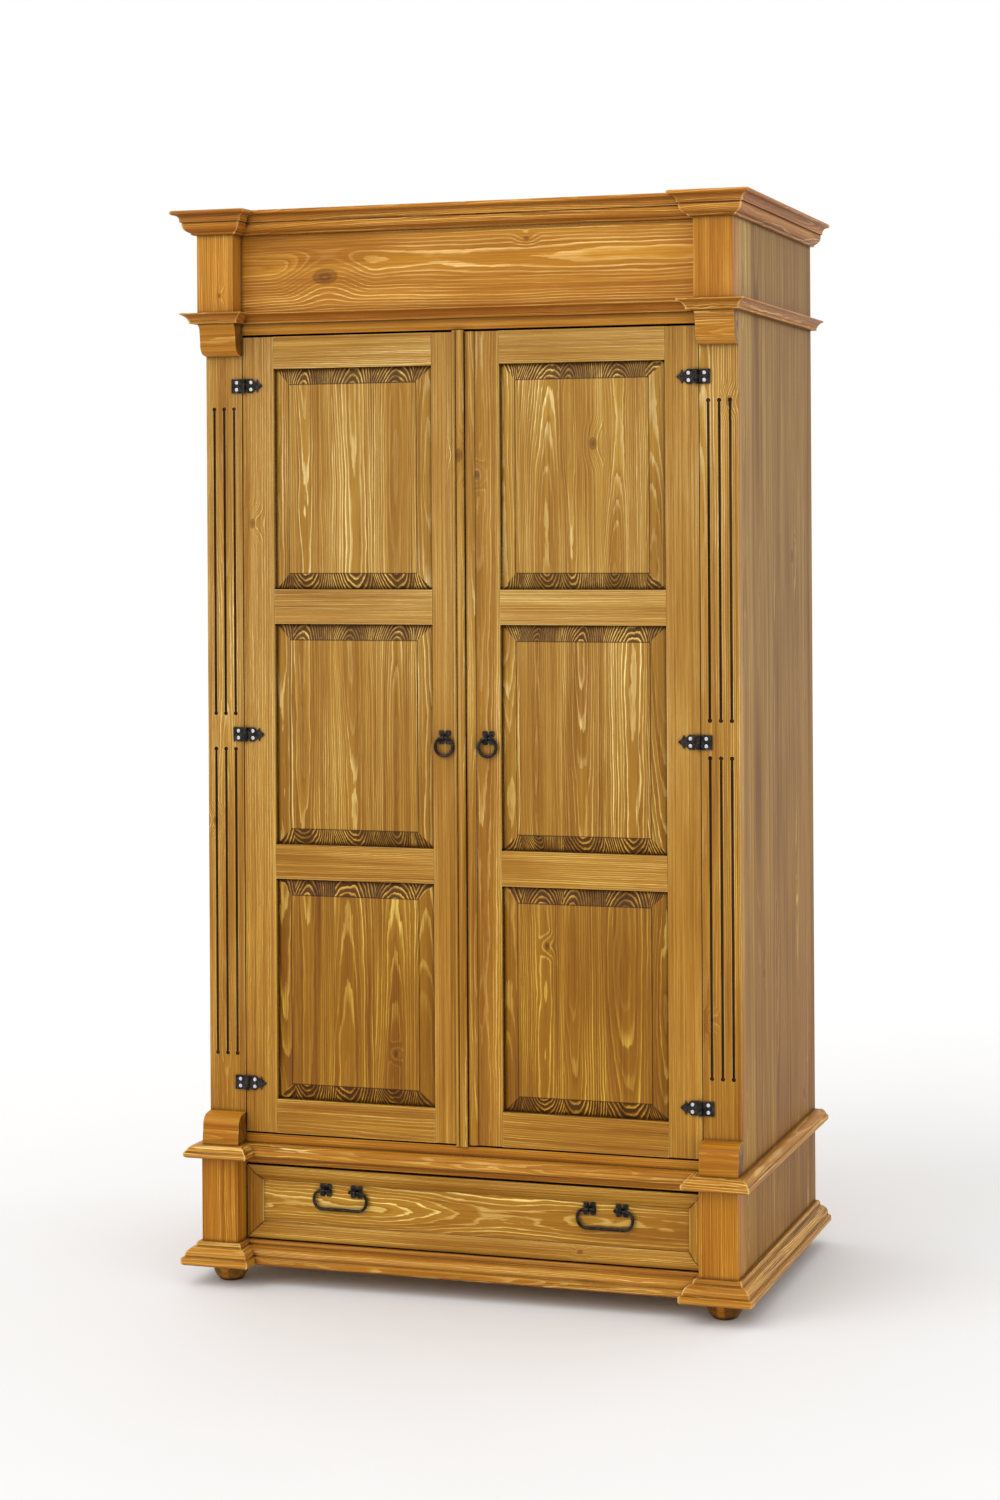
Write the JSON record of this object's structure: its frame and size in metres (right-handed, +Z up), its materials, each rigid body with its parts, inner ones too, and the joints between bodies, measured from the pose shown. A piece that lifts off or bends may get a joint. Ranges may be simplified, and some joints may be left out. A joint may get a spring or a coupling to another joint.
{
  "type": "armoire",
  "caption": "Tall free-standing pine wardrobe: two panelled doors with ring pulls over one long drawer with bail pulls, fluted corner pilasters, stepped mouldings and bun feet.",
  "frame": {"origin": "on the floor, under the middle of the footprint (mouldings included)", "axes": "+Z up, front of the wardrobe towards -Y, +X to the right as seen from the front"},
  "size_m": [1.106, 0.679, 2],
  "materials": {
    "pine": "stained and waxed, satin",
    "side_pine": "stained and waxed, satin",
    "inner_pine": "planed, thinly stained",
    "forged_iron": "black forged, waxed",
    "zinc": "bright zinc plate",
    "rail_steel": "bright plated tube",
    "catch_plastic": "brown moulded plastic"
  },
  "bodies": {
    "carcass": {"left_side_panel": "side_pine", "right_side_panel": "side_pine", "top_panel": "pine", "wardrobe_floor": "pine", "base_panel": "inner_pine", "head_rail": "pine", "frieze_board": "pine", "waist_rail": "pine", "back_boards": "inner_pine", "left_front_stile": "pine", "right_front_stile": "pine", "left_frieze_block": "pine", "right_frieze_block": "pine", "left_base_block": "pine", "right_base_block": "pine", "upper_corbels": "pine", "lower_corbels": "pine", "crown_moulding": "pine", "architrave_moulding": "pine", "waist_moulding": "pine", "plinth_moulding": "pine", "feet": "pine", "hat_shelf": "inner_pine", "shelf_cleats": "inner_pine", "hanging_rail": "rail_steel", "rail_sockets": "rail_steel", "door_catches": "catch_plastic", "drawer_runners": "inner_pine", "frame_hinge_leaves": "forged_iron", "frame_hinge_screws": "zinc", "hinge_pins": "forged_iron"},
    "left_door": {"left_door_hinge_stile": "pine", "left_door_meeting_stile": "pine", "left_door_rails": "pine", "left_door_panels": "pine", "left_strike_plate": "zinc", "left_door_cover_strip": "pine", "left_door_hinge_leaves": "forged_iron", "left_door_hinge_screws": "zinc", "left_pull_plate": "forged_iron"},
    "right_door": {"right_door_hinge_stile": "pine", "right_door_meeting_stile": "pine", "right_door_rails": "pine", "right_door_panels": "pine", "right_strike_plate": "zinc", "right_door_edge_bead": "pine", "right_door_hinge_leaves": "forged_iron", "right_door_hinge_screws": "zinc", "right_pull_plate": "forged_iron"},
    "drawer": {"drawer_front": "pine", "drawer_front_frame": "pine", "drawer_left_side": "inner_pine", "drawer_right_side": "inner_pine", "drawer_back": "inner_pine", "drawer_bottom": "inner_pine", "bail_plates": "forged_iron"},
    "left_ring": {"left_pull_ring": "forged_iron"},
    "right_ring": {"right_pull_ring": "forged_iron"},
    "left_bail": {"left_bail": "forged_iron"},
    "right_bail": {"right_bail": "forged_iron"}
  },
  "joints": [
    {"name": "left_door_hinge", "type": "hinge", "parent": "carcass", "child": "left_door", "pos_m": [-0.437, -0.2649, 1.023], "axis": [0, 0, -1], "range_deg": [0, 100]},
    {"name": "right_door_hinge", "type": "hinge", "parent": "carcass", "child": "right_door", "pos_m": [0.437, -0.2649, 1.023], "axis": [0, 0, 1], "range_deg": [0, 100]},
    {"name": "drawer_slide", "type": "slide", "parent": "carcass", "child": "drawer", "axis": [0, -1, 0], "range_m": [0, 0.42]},
    {"name": "left_ring_swing", "type": "hinge", "parent": "left_door", "child": "left_ring", "pos_m": [-0.042, -0.2677, 1.024], "axis": [-1, 0, 0], "range_deg": [0, 90]},
    {"name": "right_ring_swing", "type": "hinge", "parent": "right_door", "child": "right_ring", "pos_m": [0.042, -0.2677, 1.024], "axis": [-1, 0, 0], "range_deg": [0, 90]},
    {"name": "left_bail_swing", "type": "hinge", "parent": "drawer", "child": "left_bail", "pos_m": [-0.256, -0.2547, 0.176], "axis": [-1, 0, 0], "range_deg": [0, 90]},
    {"name": "right_bail_swing", "type": "hinge", "parent": "drawer", "child": "right_bail", "pos_m": [0.256, -0.2547, 0.176], "axis": [-1, 0, 0], "range_deg": [0, 90]}
  ]
}
